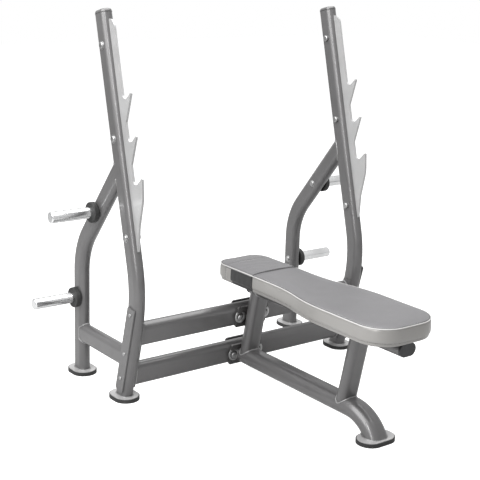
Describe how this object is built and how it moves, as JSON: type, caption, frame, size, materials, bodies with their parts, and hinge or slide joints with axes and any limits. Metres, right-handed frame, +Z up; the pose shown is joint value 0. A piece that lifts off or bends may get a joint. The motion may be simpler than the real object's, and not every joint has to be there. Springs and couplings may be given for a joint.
{
  "type": "olympic flat bench press",
  "caption": "Flat bench press with two bent side frames carrying bar hooks and plate horns, two crossmembers and a flared upholstered pad on a floor tube.",
  "frame": {"origin": "on the floor, under the middle of the bounding box", "axes": "+X to the right seen from the pad's front end, +Y to the head end of the pad, +Z up"},
  "size_m": [1.45, 1.303, 1.4034],
  "materials": {
    "frame_paint": "silver-grey metallic powder coat, satin",
    "hook_paint": "light silver coat, satin",
    "cap_paint": "grey plastic cap, satin",
    "foot_paint": "light silver coat",
    "bracket_paint": "dark grey coat, satin",
    "chrome": "bright chrome",
    "fastener": "zinc-plated steel",
    "rubber": "black rubber, matt",
    "end_plastic": "black plastic",
    "board": "plywood",
    "pad_vinyl": "grey upholstery vinyl",
    "cover_vinyl": "dark wear cover"
  },
  "bodies": {
    "root": {"base_tube": "frame_paint", "beam_front_cap": "end_plastic", "beam_rear_cap": "end_plastic", "bench_foot_plate": "foot_paint", "bench_rubber_foot": "rubber", "bracket_bolts": "fastener", "bracket_nuts": "fastener", "front_pad_mount": "bracket_paint", "front_post": "frame_paint", "head_cover": "cover_vinyl", "left_cover_plate": "frame_paint", "left_cover_screws": "fastener", "left_end_plate": "frame_paint", "left_front_foot_plate": "foot_paint", "left_front_rubber_foot": "rubber", "left_hook_bolts": "fastener", "left_hook_nuts": "fastener", "left_hook_strip": "hook_paint", "left_horn_bolts": "fastener", "left_lower_collar": "rubber", "left_lower_horn": "chrome", "left_rear_foot_plate": "foot_paint", "left_rear_leg": "frame_paint", "left_rear_rubber_foot": "rubber", "left_side_rail": "frame_paint", "left_top_cap": "cap_paint", "left_upper_collar": "rubber", "left_upper_horn": "chrome", "left_upright": "frame_paint", "lower_back_plate": "bracket_paint", "lower_crossmember": "frame_paint", "lower_flange_plate": "bracket_paint", "pad_beam": "frame_paint", "pad_board": "board", "pad_bolts": "fastener", "rear_pad_mount": "bracket_paint", "rear_post": "frame_paint", "right_cover_plate": "frame_paint", "right_cover_screws": "fastener", "right_end_plate": "frame_paint", "right_front_foot_plate": "foot_paint", "right_front_rubber_foot": "rubber", "right_hook_bolts": "fastener", "right_hook_nuts": "fastener", "right_hook_strip": "hook_paint", "right_horn_bolts": "fastener", "right_lower_collar": "rubber", "right_lower_horn": "chrome", "right_rear_foot_plate": "foot_paint", "right_rear_leg": "frame_paint", "right_rear_rubber_foot": "rubber", "right_side_rail": "frame_paint", "right_top_cap": "cap_paint", "right_upper_collar": "rubber", "right_upper_horn": "chrome", "right_upright": "frame_paint", "seat_pad": "pad_vinyl", "upper_back_plate": "bracket_paint", "upper_crossmember": "frame_paint", "upper_flange_plate": "bracket_paint"}
  },
  "joints": []
}
